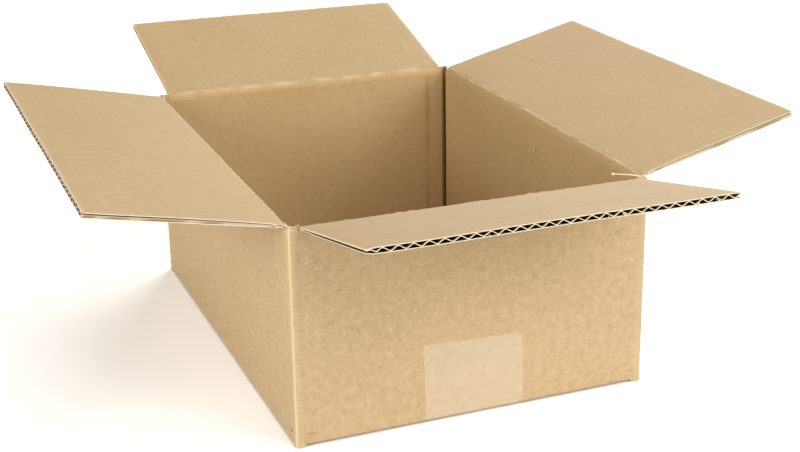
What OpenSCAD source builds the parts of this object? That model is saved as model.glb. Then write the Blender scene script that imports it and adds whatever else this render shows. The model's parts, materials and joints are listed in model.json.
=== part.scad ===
// Small regular slotted box of single-wall corrugated board, standing open.
// +Z is up. The origin is on the floor at the middle of the box, under the bottom tape.
// X runs across the short end panels, Y along the long panels, and the front end faces -Y.

/* [Box] */
// Outside width of an end panel, along X
box_w = 170; // [150:1:190]
// Outside length of a long panel, along Y
box_l = 234; // [215:1:280]
// Height of the top creases above the floor
crease_h = 100.1; // [80:0.1:140]

/* [Board] */
// Thickness of the corrugated board
board_t = 2.6; // [2.4:0.1:3.2]
// Thickness of each flat liner
liner_t = 0.3; // [0.2:0.05:0.4]
// Thickness of the fluted medium
medium_t = 0.25; // [0.15:0.05:0.35]
// Distance from one flute crest to the next
flute_pitch = 6.14; // [5.8:0.02:6.8]
// Width of the hollow tip inside one flute
flute_tip_w = 0.7; // [0.4:0.1:1]
// Distance from the side of a flap to its first upper crest
flute_start = 1.8; // [0:0.1:3]

/* [Folds] */
// Outside radius of the upright folds
fold_r = 2.4; // [1:0.1:2.4]
// Outside radius of the folds under the long panels
under_fold_r = 2.2; // [1:0.1:2.4]
// Outside radius of the folds under the end panels
end_fold_r = 1.6; // [0.8:0.1:2.2]
// Height of the end panels' bottom folds above the outer bottom flaps' underside
end_fold_lift = 0.65; // [0.3:0.05:1.5]
// Cut from each corner to the side of a flap
slot_half = 5.2; // [4.4:0.1:8]
// Free play between a corner post and the flap beside it
slot_play = 0.5; // [0.3:0.1:1]
// Free play at the top creases, and between the closed flap layers
crease_play = 0.3; // [0.2:0.05:0.5]
// Gap left where two opposite flaps meet at the middle
meet_gap = 0.8; // [0.4:0.1:4]
// Length of board pressed solid beside a top crease
crush_l = 4; // [3:0.5:8]
// How far the corner posts stand above the top creases
post_rise = 0.3; // [0:0.1:0.8]
// Height of the corner posts' lower ends above the outer bottom flaps' underside
post_lift = 0.05; // [0:0.05:0.5]

/* [Flap angles] */
// Tilt of the open front flap, outward from upright
front_open = 77.9; // [0:0.1:100]
// Tilt of the open back flap, outward from upright
back_open = 74.2; // [0:0.1:100]
// Tilt of the open left flap, outward from upright
left_open = 78.3; // [0:0.1:100]
// Tilt of the open right flap, outward from upright
right_open = 75.7; // [0:0.1:100]
// Furthest tilt that the wall tops leave room for
widest_open = 105; // [100:1:110]

/* [Glue tab] */
// Length of the glue tab from the back panel's face to its free end
tab_l = 32; // [20:1:45]
// Distance from the creases to the tab's ends at its fold
tab_inset = 6; // [3:0.5:12]
// How much each end of the tab tapers towards its free end
tab_taper = 7; // [2:0.5:12]

/* [Tape] */
// Width of the packing tape
tape_w = 48; // [36:1:60]
// Thickness of the packing tape
tape_t = 0.06; // [0.04:0.01:0.12]
// Height that the tape reaches on the front panel, at its middle
tape_front_h = 37.2; // [20:0.1:70]
// How much lower the tape's front end is at its right corner than at its left
tape_front_drop = 2.1; // [-6:0.1:6]
// Height that the tape reaches on the back panel
tape_back_h = 41; // [20:0.1:70]
// Sideways shift of the tape from the middle
tape_shift = -0.7; // [-10:0.1:10]

/* [Hidden] */
$fn = 48;
kraft = "#cfb083";
tape_tint = "#dcc6a4";
// A cut reaches this far past the solid that it opens
over = 1;
// Heights of the bottom layers, from the tape up
outer_z = tape_t;
inner_z = outer_z + board_t;
floor_z = inner_z + board_t;
end_fold_z = outer_z + end_fold_lift;
// The walls stop under the crease, with room for the flap's round end
wall_top = crease_h - board_t / 2 - crease_play;
// Opposite flaps on the long panels meet at the middle, and all flaps have one length
flap_l = (box_w - board_t - meet_gap) / 2;
end_flap_w = box_w - 2 * slot_half;
side_flap_w = box_l - 2 * slot_half;
// A long panel's flap turns about its upper face, so it closes one layer higher
side_lift = (board_t + crease_play) / 2;
// Corner posts are a little narrower than the cuts beside the flaps
post_w = slot_half - slot_play;
// A wall's top slopes away on the outside, for a flap tilted past level
bevel_tilt = widest_open - 90;
bevel_start = side_lift * sin(bevel_tilt);
// Flute section: the run of a leg for each unit of rise keeps the leg as thick as the medium
hollow_h = board_t - 2 * liner_t;
leg_a = flute_pitch / 2 - flute_tip_w;
leg_b = hollow_h - 2 * medium_t;
leg_c = leg_b * leg_b - medium_t * medium_t;
leg_root = medium_t * sqrt(leg_a * leg_a + leg_c);
leg_run = (leg_a * leg_b - leg_root) / leg_c;
flute_foot = flute_tip_w / 2 + leg_run * (hollow_h - medium_t);
// The open flute at the right panel's free end lies this far in from the cut
edge_flute_in = flute_foot / 2;

// Waste outside a round corner of radius r, for a corner at the origin
module corner_waste(r) {
    difference() {
        translate([-over, -over]) square(r + over);
        translate([r, r]) circle(r);
    }
}

// Rectangle with round corners, centred
module round_rect(w, l, r) {
    square([w - 2 * r, l], center = true);
    square([w, l - 2 * r], center = true);
    for (x = [-1, 1], y = [-1, 1])
        translate([x * (w / 2 - r), y * (l / 2 - r)]) circle(r);
}

// The four upright panels seen from above, with the joint gap at the back right corner.
// The right panel's free end there was cut along its last flute, which is open on that side.
module wall_plan() {
    difference() {
        round_rect(box_w, box_l, fold_r);
        square([box_w - 2 * board_t, box_l - 2 * board_t], center = true);
        translate([box_w / 2 - board_t - over, box_l / 2 - slot_half])
            square([board_t + 2 * over, slot_half - board_t]);
        translate([(box_w - board_t) / 2, box_l / 2 - slot_half - edge_flute_in])
            rotate(90) flute_hollow();
    }
}

// Corner posts: what the cuts leave of the panels beside each upright fold
module post_plan() {
    intersection() {
        wall_plan();
        for (x = [-1, 1], y = [-1, 1])
            translate([x * (box_w - post_w) / 2, y * (box_l - post_w) / 2])
                square(post_w, center = true);
    }
}

// Bottom flap of a long panel, the outer layer, folded at x = 0 and running along +X
module outer_bottom_flap() {
    rotate([90, 0, 0]) linear_extrude(side_flap_w, center = true)
        difference() {
            union() {
                translate([0, outer_z]) square([(box_w - meet_gap) / 2, board_t]);
                translate([0, outer_z]) square([board_t, floor_z + over - outer_z]);
            }
            translate([0, outer_z]) corner_waste(under_fold_r);
        }
}

// Bottom flap of an end panel, the inner layer, which climbs from its low fold onto the outer one.
// Its flutes run out at the free edge, which shows inside the box.
module inner_bottom_flap() {
    reach = flap_l + board_t / 2;
    flutes_from = slot_half + crush_l;
    difference() {
        rotate([90, 0, 0]) linear_extrude(end_flap_w, center = true)
            difference() {
                polygon([
                    [0, end_fold_z], [end_fold_r, end_fold_z], [slot_half - slot_play, inner_z],
                    [reach, inner_z], [reach, floor_z], [board_t, floor_z],
                    [board_t, floor_z + over], [0, floor_z + over]
                ]);
                translate([0, end_fold_z]) corner_waste(end_fold_r);
            }
        translate([flutes_from, 0, inner_z + board_t / 2]) rotate([90, 0, 90])
            linear_extrude(reach - flutes_from + over) flute_row(end_flap_w);
    }
}

// Wedge cut from the outer half of a wall's top, beside its crease
module crease_bevel(width) {
    drop_y = board_t / 2 + bevel_start + over;
    rotate([90, 0, 90]) linear_extrude(width, center = true)
        translate([bevel_start, 0])
            polygon([[over, over], [0, 0], [-drop_y, -drop_y * tan(bevel_tilt)], [-drop_y, over]]);
}

// Glue tab: it turns round the back right corner and lies on the long panel's outside.
// It is fluted board, pressed solid beside its fold.
module glue_tab() {
    low = inner_z + tab_inset;
    high = crease_h - tab_inset;
    fold_y = box_l / 2 - fold_r;
    end_y = box_l / 2 - tab_l;
    intersection() {
        translate([box_w / 2, 0, 0]) rotate([90, 0, 90]) linear_extrude(board_t)
            polygon([
                [fold_y, low], [fold_y, high], [end_y, high - tab_taper], [end_y, low + tab_taper]
            ]);
        translate([(box_w + board_t) / 2, fold_y, low - over]) linear_extrude(high - low + 2 * over) {
            translate([0, (end_y - fold_y) / 2]) rotate(90) board_section(fold_y - end_y);
            translate([-board_t / 2, -crush_l]) square([board_t, crush_l]);
        }
    }
    translate([box_w / 2 + board_t, box_l / 2, low]) rotate([0, 0, 180]) linear_extrude(high - low)
        difference() {
            union() {
                square([post_w + board_t, board_t]);
                square([board_t, fold_r]);
            }
            corner_waste(fold_r);
        }
}

// Put something that is drawn at the front wall's crease onto the wall turned by spin
module at_wall(spin, half_depth, height) {
    rotate([0, 0, spin]) translate([0, board_t / 2 - half_depth, height]) children();
}

// The folded sheet up to its top creases
module box_body() {
    color(kraft) {
        difference() {
            translate([0, 0, floor_z]) linear_extrude(wall_top - floor_z) wall_plan();
            for (spin = [0, 180])
                at_wall(spin, box_l / 2, wall_top) crease_bevel(end_flap_w + 2 * slot_play);
            for (spin = [90, -90])
                at_wall(spin, box_w / 2, wall_top) crease_bevel(side_flap_w + 2 * slot_play);
        }
        translate([0, 0, outer_z + post_lift])
            linear_extrude(crease_h + post_rise - outer_z - post_lift) post_plan();
        for (side = [0, 1]) {
            mirror([side, 0, 0]) translate([-box_w / 2, 0, 0]) outer_bottom_flap();
            mirror([0, side, 0]) translate([0, -box_l / 2, 0]) rotate([0, 0, 90])
                inner_bottom_flap();
        }
        glue_tab();
    }
}

// Hollow under one flute crest, standing on the lower liner, with the flute's tip rounded off
module flute_hollow() {
    tip_z = hollow_h / 2 - medium_t;
    turn_z = tip_z - flute_tip_w / 3;
    turn_x = flute_tip_w / 2 + leg_run * flute_tip_w / 3;
    polygon([
        [-flute_foot, -hollow_h / 2], [flute_foot, -hollow_h / 2], [turn_x, turn_z],
        [flute_tip_w / 4, tip_z], [-flute_tip_w / 4, tip_z], [-turn_x, turn_z]
    ]);
}

// All the hollows across a board of the given width, above and below the medium's wave
module flute_row(width) {
    for (i = [-1 : ceil(width / flute_pitch)])
        translate([flute_start - width / 2 + i * flute_pitch, 0]) {
            flute_hollow();
            translate([flute_pitch / 2, 0]) mirror([0, 1]) flute_hollow();
        }
}

// Section of corrugated board across its flutes: two liners with the medium's wave between them
module board_section(width) {
    difference() {
        square([width, board_t], center = true);
        flute_row(width);
    }
}

// Top flap lying level: its crease is on the X axis, it runs along -Y, and its inner face is up.
// The board is solid at the crease, where scoring has pressed it, and its end is round.
module top_flap(width, lift) {
    translate([0, 0, -lift]) {
        translate([0, -crush_l, 0]) rotate([90, 0, 0]) linear_extrude(flap_l - crush_l)
            board_section(width);
        rotate([90, 0, 90]) linear_extrude(width, center = true) {
            circle(d = board_t);
            translate([-crush_l, -board_t / 2]) square([crush_l, board_t]);
        }
    }
}

module front_flap() {
    color(kraft) at_wall(0, box_l / 2, crease_h) rotate([front_open - 90, 0, 0])
        top_flap(end_flap_w, 0);
}

module back_flap() {
    color(kraft) at_wall(180, box_l / 2, crease_h) rotate([back_open - 90, 0, 0])
        top_flap(end_flap_w, 0);
}

module left_flap() {
    color(kraft) at_wall(-90, box_w / 2, crease_h + side_lift) rotate([left_open - 90, 0, 0])
        top_flap(side_flap_w, side_lift);
}

module right_flap() {
    color(kraft) at_wall(90, box_w / 2, crease_h + side_lift) rotate([right_open - 90, 0, 0])
        top_flap(side_flap_w, side_lift);
}

// Section of half the tape, from just past the middle of the bottom, so that the halves lap,
// round the fold and up an end panel. The panel's outer face is at x = 0, with the tape outside.
module half_tape_section(height) {
    fold_mid = end_fold_z + end_fold_r;
    translate([-tape_t, fold_mid]) square([tape_t, height - fold_mid]);
    translate([end_fold_r, fold_mid]) intersection() {
        difference() {
            circle(end_fold_r + tape_t);
            circle(end_fold_r);
        }
        translate([-2 * end_fold_r, -2 * end_fold_r]) square(2 * end_fold_r);
    }
    polygon([
        [end_fold_r, end_fold_z], [end_fold_r, end_fold_z - tape_t],
        [slot_half, outer_z - tape_t], [slot_half, outer_z]
    ]);
    translate([slot_half, outer_z - tape_t]) square([box_l / 2 - slot_half + over, tape_t]);
}

// Waste over the tape's slanting front end
module tape_end_waste() {
    top = tape_front_h + abs(tape_front_drop) + over;
    translate([0, over - box_l / 2, 0]) rotate([90, 0, 0]) linear_extrude(2 * over + tape_t)
        polygon([
            [-tape_w, tape_front_h + tape_front_drop], [-tape_w, top],
            [tape_w, top], [tape_w, tape_front_h - tape_front_drop]
        ]);
}

// Packing tape over the bottom seam, turned up on both end panels
module seam_tape() {
    front_top = tape_front_h + abs(tape_front_drop) / 2;
    color(tape_tint) translate([tape_shift, 0, 0]) {
        difference() {
            translate([0, -box_l / 2, 0]) rotate([90, 0, 90])
                linear_extrude(tape_w, center = true) half_tape_section(front_top);
            tape_end_waste();
        }
        mirror([0, 1, 0]) translate([0, -box_l / 2, 0]) rotate([90, 0, 90])
            linear_extrude(tape_w, center = true) half_tape_section(tape_back_h);
    }
}

box_body();
front_flap();
back_flap();
left_flap();
right_flap();
seam_tape();
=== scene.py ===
import json
import math

import bmesh
import bpy
import numpy as np
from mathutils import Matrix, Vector, noise


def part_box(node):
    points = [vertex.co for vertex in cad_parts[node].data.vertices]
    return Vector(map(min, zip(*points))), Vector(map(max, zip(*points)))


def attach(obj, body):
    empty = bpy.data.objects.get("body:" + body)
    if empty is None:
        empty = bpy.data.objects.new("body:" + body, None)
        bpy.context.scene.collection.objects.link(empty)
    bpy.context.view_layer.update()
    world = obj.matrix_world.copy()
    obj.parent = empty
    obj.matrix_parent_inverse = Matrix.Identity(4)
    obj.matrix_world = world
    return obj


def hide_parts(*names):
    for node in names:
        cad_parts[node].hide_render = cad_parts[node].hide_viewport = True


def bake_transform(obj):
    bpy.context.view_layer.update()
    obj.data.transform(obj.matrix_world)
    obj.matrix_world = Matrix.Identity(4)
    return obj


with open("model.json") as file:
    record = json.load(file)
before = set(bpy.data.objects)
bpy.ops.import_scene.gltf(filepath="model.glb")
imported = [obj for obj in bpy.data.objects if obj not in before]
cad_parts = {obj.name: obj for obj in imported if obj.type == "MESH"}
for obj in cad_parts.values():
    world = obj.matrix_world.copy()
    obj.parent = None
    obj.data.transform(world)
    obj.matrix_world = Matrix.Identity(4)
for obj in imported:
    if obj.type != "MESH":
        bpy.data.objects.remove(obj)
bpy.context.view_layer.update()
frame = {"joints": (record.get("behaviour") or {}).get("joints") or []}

# Camera
# It stands at the photograph's viewpoint, found from the box's own corners: low in front, and
# a little to the left. The image's middle is off the lens axis, so the lens is shifted.
IMAGE_W = 800
FOCAL_PX = 1494.05
LENS_AXIS_PX = (464.71, 209.82)
IMAGE_MIDDLE_PX = (400, 226)
CAMERA_AZIMUTH = -23.71
CAMERA_ELEVATION = 19.18
CAMERA_FAR = 0.7759
SEEN_POINT = Vector((0.04547, 0.0, 0.05366))


def stand_back(thing, point, azimuth, elevation, far):
    """Puts a camera or a light into the scene, away from a point that it faces. Azimuth 0 is in
    front of the box, and 90 to its right."""
    turn, rise = math.radians(azimuth), math.radians(elevation)
    away = Vector((
        math.sin(turn) * math.cos(rise), -math.cos(turn) * math.cos(rise), math.sin(rise),
    ))
    bpy.context.scene.collection.objects.link(thing)
    thing.location = point + far * away
    thing.rotation_mode = "QUATERNION"
    thing.rotation_quaternion = (-away).to_track_quat("-Z", "Y")


camera_data = bpy.data.cameras.new("camera")
camera_data.sensor_width = 36
camera_data.lens = FOCAL_PX / IMAGE_W * camera_data.sensor_width
camera_data.shift_x = (IMAGE_MIDDLE_PX[0] - LENS_AXIS_PX[0]) / IMAGE_W
camera_data.shift_y = (LENS_AXIS_PX[1] - IMAGE_MIDDLE_PX[1]) / IMAGE_W
camera = bpy.data.objects.new("camera", camera_data)
stand_back(camera, SEEN_POINT, CAMERA_AZIMUTH, CAMERA_ELEVATION, CAMERA_FAR)
bpy.context.scene.camera = camera
bpy.context.scene.view_settings.view_transform = "Standard"


# Studio
# A matt white table top with white all round it, and four softboxes: two in front, one to the left
# and one behind on the right. The low ones reach the walls under the open flaps.
def srgb(code, alpha=1.0):
    """Linear colour of an sRGB hex code."""
    channels = [int(code[i:i + 2], 16) / 255 for i in (1, 3, 5)]
    linear = [c / 12.92 if c <= 0.04045 else ((c + 0.055) / 1.055) ** 2.4 for c in channels]
    return (*linear, alpha)


def add_node(tree, kind, settings=None, inputs=None):
    """A node with its settings. An input is a value, or a socket that is linked to it."""
    node = tree.nodes.new(kind)
    for name, value in (settings or {}).items():
        setattr(node, name, value)
    for name, value in (inputs or {}).items():
        socket = node.inputs[name]
        if isinstance(value, bpy.types.NodeSocket):
            tree.links.new(value, socket)
        else:
            socket.default_value = value
    return node


def new_material(name):
    """An empty node material, with the socket of its surface output."""
    material = bpy.data.materials.new(name)
    material.use_nodes = True
    tree = material.node_tree
    tree.nodes.clear()
    output = add_node(tree, "ShaderNodeOutputMaterial")
    return material, tree, output.inputs["Surface"]


FLOOR_HALF = 4.0
floor_mesh = bpy.data.meshes.new("table_top")
floor_mesh.from_pydata(
    [(x * FLOOR_HALF, y * FLOOR_HALF, 0) for x, y in ((-1, -1), (1, -1), (1, 1), (-1, 1))],
    [], [(0, 1, 2, 3)],
)
floor = bpy.data.objects.new("table_top", floor_mesh)
bpy.context.scene.collection.objects.link(floor)
# The table top glows to the camera only: a little near the box, which paints its shadow lighter, and
# fully far from it. The glow leaves out the box's foot, so that the dark line under the end panels'
# folds stays.
SHADOW_LIFT = 0.25
FOOT_MARGIN = 0.001
FOOT_INSET = 0.003
WHITE_FROM = 0.7
WHITE_BY = 2.2
white_laminate, tree, surface = new_material("matt_white_laminate")
spot = add_node(tree, "ShaderNodeTexCoord").outputs["Object"]
from_box = add_node(tree, "ShaderNodeVectorMath", {"operation": "LENGTH"}, {0: spot}).outputs["Value"]
glow = add_node(tree, "ShaderNodeMapRange", {"interpolation_type": "SMOOTHSTEP"}, {
    "Value": from_box, "From Min": WHITE_FROM, "From Max": WHITE_BY, "To Min": SHADOW_LIFT, "To Max": 1.0,
}).outputs["Result"]
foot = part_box("box_body")[1]
beside = add_node(tree, "ShaderNodeVectorMath", {"operation": "ABSOLUTE"}, {0: spot}).outputs["Vector"]
past_foot = add_node(tree, "ShaderNodeVectorMath", {"operation": "SUBTRACT"}, {
    0: beside, 1: (foot[0] - FOOT_INSET, foot[1], 0),
}).outputs["Vector"]
past = add_node(tree, "ShaderNodeSeparateXYZ", inputs={0: past_foot}).outputs
outside = add_node(tree, "ShaderNodeMath", {"operation": "MAXIMUM"}, {
    0: past["X"], 1: past["Y"],
}).outputs[0]
clear = add_node(tree, "ShaderNodeMapRange", {"interpolation_type": "SMOOTHSTEP"}, {
    "Value": outside, "From Min": 0.0, "From Max": FOOT_MARGIN, "To Min": 0.0, "To Max": 1.0,
}).outputs["Result"]
open_glow = add_node(tree, "ShaderNodeMath", {"operation": "MULTIPLY"}, {0: clear, 1: glow}).outputs[0]
seen = add_node(tree, "ShaderNodeLightPath").outputs["Is Camera Ray"]
lift = add_node(tree, "ShaderNodeMath", {"operation": "MULTIPLY"}, {0: seen, 1: open_glow}).outputs[0]
laminate = add_node(tree, "ShaderNodeBsdfPrincipled", inputs={
    "Base Color": srgb("#f8f7f5"),
    "Roughness": 0.9,
    "IOR": 1.45,
    "Emission Color": (1, 1, 1, 1),
    "Emission Strength": lift,
})
tree.links.new(laminate.outputs["BSDF"], surface)
floor_mesh.materials.append(white_laminate)

AROUND_STRENGTH = 0.05
world = bpy.data.worlds.new("white_surround")
world.use_nodes = True
around = world.node_tree
around.nodes.clear()
shown = add_node(around, "ShaderNodeBackground", inputs={"Color": (1, 1, 1, 1), "Strength": 1.0})
lit = add_node(around, "ShaderNodeBackground", inputs={
    "Color": (1, 1, 1, 1), "Strength": AROUND_STRENGTH,
})
ray = add_node(around, "ShaderNodeLightPath")
either = add_node(around, "ShaderNodeMixShader", inputs={
    0: ray.outputs["Is Camera Ray"], 1: lit.outputs[0], 2: shown.outputs[0],
})
add_node(around, "ShaderNodeOutputWorld", inputs={"Surface": either.outputs[0]})
bpy.context.scene.world = world

SOFTBOX_SIZE = 1.2
SOFTBOX_FAR = 2.0
LIT_POINT = Vector((0, 0, 0.05))


def softbox(name, azimuth, elevation, watts):
    """A square area light that faces the box."""
    data = bpy.data.lights.new(name, "AREA")
    data.shape = "SQUARE"
    data.size = SOFTBOX_SIZE
    data.energy = watts
    stand_back(bpy.data.objects.new(name, data), LIT_POINT, azimuth, elevation, SOFTBOX_FAR)


softbox("softbox_front_right", 38, 25, 28.5)
softbox("softbox_front_high", 0, 45, 13.5)
softbox("softbox_left", -70, 18, 33.5)
softbox("softbox_back", 140, 25, 42.5)

# Folded sheet
# One sheet of single-wall B flute board, brown kraft liners over a fluted medium. It is slotted,
# scored and folded into four panels with bottom flaps, and glued at a tab by the back right corner.
# The panels bow out slightly, and every score has pressed the board thinner beside its fold.
MM = 0.001
joints = {joint["name"]: joint for joint in frame["joints"]}
body_low, body_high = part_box("box_body")
half_w = -body_low.x
half_l = -body_low.y
board_t = body_high.x - half_w
crease_z = joints["front_flap_crease"]["pos_m"][2]
post_top = body_high.z
sheet_low = body_low.z
LINER_T = 0.3 * MM
MEDIUM_T = 0.25 * MM
FLUTE_PITCH = 6.14 * MM
SLOT_HALF = 5.2 * MM
POST_W = 4.7 * MM
# An upright fold is soft over this reach on both its sides, with a sharper ridge in the middle
FOLD_REACH = 3.4 * MM
FOLD_SHARPNESS = 1.8
INNER_FOLD_R = 0.7 * MM
OUTER_LAYER_Z = 0.06 * MM
# The bands beside the top creases are separate pieces
BAND_WALL = 3.2 * MM
BAND_FLAP = 6 * MM
wall_low = OUTER_LAYER_Z + 2 * board_t + 0.8 * MM
wall_high = crease_z - BAND_WALL
# Beside the wall, a slot is only as wide as its knife cut
KNIFE_CUT = 0.03 * MM
# Places that are closer than a hair count as one place, and a nudge is too little to show
HAIR = 1e-7
NUDGE = 0.05 * MM
# For each panel: its turn about the box, how far out its face stands, half its length, the place of
# its middle along the flat sheet, and its bow in millimetres
SIDES = {
    "front": {"spin": 0, "depth": half_l, "half": half_w, "sheet_u": 0.0, "bow": 0.35},
    "right": {"spin": 90, "depth": half_w, "half": half_l, "sheet_u": -(half_w + half_l), "bow": 0.5},
    "back": {"spin": 180, "depth": half_l, "half": half_w, "sheet_u": 2 * (half_w + half_l), "bow": 0.4},
    "left": {"spin": -90, "depth": half_w, "half": half_l, "sheet_u": half_w + half_l, "bow": 0.6},
}


def at_side(side, along, out, z):
    """A point given along a panel, out from the box's middle and up, in the part's frame."""
    turn = math.radians(SIDES[side]["spin"])
    return (
        along * math.cos(turn) + out * math.sin(turn),
        along * math.sin(turn) - out * math.cos(turn),
        z,
    )


def ease(x):
    """Smooth step from 0 to 1."""
    x = min(max(x, 0.0), 1.0)
    return x * x * (3 - 2 * x)


def bell(x, width):
    """1 at the middle, fading smoothly to both sides."""
    return math.exp(-(x / width) ** 2)


def wobble(x, y, seed, grain):
    """Smooth noise from about -1 to 1, with features of the grain's size."""
    return noise.noise(Vector((x / grain, y / grain, seed * 7.31)))


# A bow starts this far from the upright folds, and grows over this much beside them, at the bottom
# and at the top
BOW_START = 3 * MM
BOW_GROWS = (22 * MM, 20 * MM, 14 * MM)


def bow(side, along, z):
    """How far a panel stands out from flat: a soft bow with gentle hollows, none at its folds."""
    facts = SIDES[side]
    from_fold = facts["half"] - abs(along)
    calm = ease((from_fold - BOW_START) / BOW_GROWS[0])
    calm *= ease((z - wall_low) / BOW_GROWS[1]) * ease((wall_high - z) / BOW_GROWS[2])
    swell = facts["bow"] + 0.3 * wobble(along, z, facts["spin"] + 3, 45 * MM)
    return MM * swell * calm


SCORE_DEPTH = 0.42 * MM
SCORE_PLACE = 4.2 * MM
SCORE_SPREAD = 1.9 * MM
SCORE_START = 1.2 * MM


def score_dip(from_fold):
    """How much the outer face sinks beside an upright fold, where the score pressed it."""
    return SCORE_DEPTH * bell(from_fold - SCORE_PLACE, SCORE_SPREAD)


def new_build():
    """Lists that a mesh is made from: points, wear and painted light at each, faces, their corners' UV
    and finish.
    """
    return {"points": [], "wear": [], "faces": [], "uv": [], "finish": []}


LINER = 0
CUT_PAPER = 1
CUT_BOARD = 2
# The medium's finish is painted darker than the paper, as shade inside the flutes
MEDIUM_IN_PAINTED_SHADE = 3
# Inner faces take the pattern from another part of the sheet than outer faces
OTHER_FACE = 1.0


def add_shell(build, outer, inner, uv, wear, inner_wear=None, keep=None, open_rim=None,
              faces=(LINER, LINER), lifts=(0.0, OTHER_FACE), rim=CUT_BOARD):
    """A closed sheet between two grids of points. keep says which cells are board, and open_rim
    which of their edges go on into another grid, and so have no cut face."""
    rows, cols = len(outer), len(outer[0])
    first = len(build["points"])
    half_count = rows * cols
    for grid in (outer, inner):
        for row in grid:
            build["points"].extend(row)
    for grid in (wear, inner_wear or wear):
        for row in grid:
            build["wear"].extend(row)

    def at(i, j, layer):
        return first + layer * half_count + i * cols + j

    def kept(i, j):
        inside = 0 <= i < rows - 1 and 0 <= j < cols - 1
        return inside and (keep is None or keep(i, j))

    for i in range(rows - 1):
        for j in range(cols - 1):
            if not kept(i, j):
                continue
            corners = [(i, j), (i, j + 1), (i + 1, j + 1), (i + 1, j)]
            for layer in (0, 1):
                build["faces"].append([at(r, c, layer) for r, c in corners])
                build["uv"].append([(uv[r][c][0], uv[r][c][1] + lifts[layer]) for r, c in corners])
                build["finish"].append(faces[layer])
            neighbours = [(i - 1, j), (i, j + 1), (i + 1, j), (i, j - 1)]
            for edge, (r, c) in enumerate(neighbours):
                if kept(r, c) or (open_rim is not None and open_rim(i, j, edge)):
                    continue
                a, b = corners[edge], corners[(edge + 1) % 4]
                build["faces"].append([at(*a, 0), at(*b, 0), at(*b, 1), at(*a, 1)])
                axis = 0 if edge in (0, 2) else 1
                ends = [uv[a[0]][a[1]][axis], uv[b[0]][b[1]][axis]]
                lift = axis * OTHER_FACE
                build["uv"].append([
                    (ends[0], lift), (ends[1], lift),
                    (ends[1], lift + board_t), (ends[0], lift + board_t),
                ])
                build["finish"].append(rim)


def grids(rows):
    """The grids that a shell needs, from rows of cells: outer and inner point, UV, and wear with painted
    light.
    """
    return [[[cell[part] for cell in row] for row in rows] for part in range(4)]


def steps(start, end, longest):
    """Evenly spaced values from start to end, no further apart than the longest step."""
    count = max(1, math.ceil(abs(end - start) / longest - 1e-6))
    return [start + (end - start) * k / count for k in range(count + 1)]


# The joint's fold is pressed from inside, which leaves a crack where it turns. The press also left
# two upright marks beside it on the back panel. The crack is darkened with painted shade. The marks
# are darkened partly for the crushed paper's tone and partly as painted shade, as the panel has no
# dents there.
JOINT_GROOVE = 1.6 * MM
JOINT_GROOVE_REACH = (2.95 * MM, 2.7 * MM, 2.4 * MM)
# Each press mark: its distance from the fold, its spread, and how dark it is painted
PRESS_MARKS = ((13.2 * MM, 2.1 * MM, 0.46), (8.1 * MM, 0.9 * MM, 0.2))
PANEL_STEP = 5 * MM
ROW_STEP = 4.5 * MM


def panel_columns(side, start, end):
    """Columns of a panel, from one place along it to another, with its slots' edges among them."""
    half = SIDES[side]["half"]
    marks = [start]
    places = [half - POST_W, half - SLOT_HALF, -(half - SLOT_HALF), -(half - POST_W)]
    if side == "back":
        places += [-(half - short) for short in JOINT_GROOVE_REACH]
        for mark, spread, depth in PRESS_MARKS:
            places += [-(half - mark - k * spread) for k in (-1, -0.5, 0, 0.5, 1)]
    for mark in sorted(places, reverse=True):
        if end < mark < start:
            marks.append(mark)
    marks.append(end)
    columns = [start]
    for a, b in zip(marks, marks[1:]):
        columns.extend(steps(a, b, PANEL_STEP)[1:])
    return columns


# The sheet's columns run from the right panel's free end round to the glue tab's fold
FOLD_STEPS = 12
ring = []
for side in ("right", "front", "left", "back"):
    half = SIDES[side]["half"]
    start = half - SLOT_HALF if side == "right" else half - FOLD_REACH
    end = -half if side == "back" else -(half - FOLD_REACH)
    for along in panel_columns(side, start, end):
        ring.append({"side": side, "along": along})
    if side == "back":
        continue
    for k in range(1, FOLD_STEPS):
        ring.append({"side": side, "turn": k / FOLD_STEPS})
SHEET_ROWS = (
    [sheet_low + NUDGE, 3 * MM]
    + steps(wall_low, wall_high, ROW_STEP)
    + [wall_high + 1.6 * MM, post_top]
)
low_row = 2
high_row = SHEET_ROWS.index(wall_high)


QUARTER_CIRCLE = 0.71


def fold_curve(reach, sharpness, t):
    """A fold's section from 0 to 1: how far it lies short of the corner along both panels. Above
    the sharpness of a quarter circle it lies nearer the corner."""
    total = (1 - t) ** 2 + 2 * sharpness * t * (1 - t) + t ** 2
    return reach * (1 - t) ** 2 / total, reach * t ** 2 / total


def ring_points(column, z):
    """Outer and inner point of the folded panels at a column and a height."""
    side = column["side"]
    depth, half = SIDES[side]["depth"], SIDES[side]["half"]
    if "turn" in column:
        pair = []
        for inset, reach, sharpness in (
            (0, FOLD_REACH, FOLD_SHARPNESS), (board_t, INNER_FOLD_R, QUARTER_CIRCLE),
        ):
            short, drop = fold_curve(reach, sharpness, column["turn"])
            pair.append(at_side(side, -(half - inset - short), depth - inset - drop, z))
        return pair
    along = column["along"]
    swell = bow(side, along, z)
    from_fold = half - abs(along)
    dip = score_dip(from_fold) * ease((from_fold - FOLD_REACH) / SCORE_START)
    inner_limit = half - board_t - INNER_FOLD_R
    inner_along = max(-inner_limit, min(inner_limit, along)) if from_fold < POST_W else along
    groove = 0.0
    if side == "back" and along < 0:
        inner_along = along
        first, last = JOINT_GROOVE_REACH[0], JOINT_GROOVE_REACH[-1]
        groove = JOINT_GROOVE * ease((first - from_fold) / (first - last))
    return [
        at_side(side, along, depth + swell - dip, z),
        at_side(side, inner_along, depth - board_t + swell + groove, z),
    ]


def column_u(column):
    """Place of a column along the flat sheet."""
    side = column["side"]
    if "turn" in column:
        along = -(SIDES[side]["half"] - FOLD_REACH * (1 - 2 * column["turn"]))
    else:
        along = column["along"]
    return SIDES[side]["sheet_u"] - along


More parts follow.
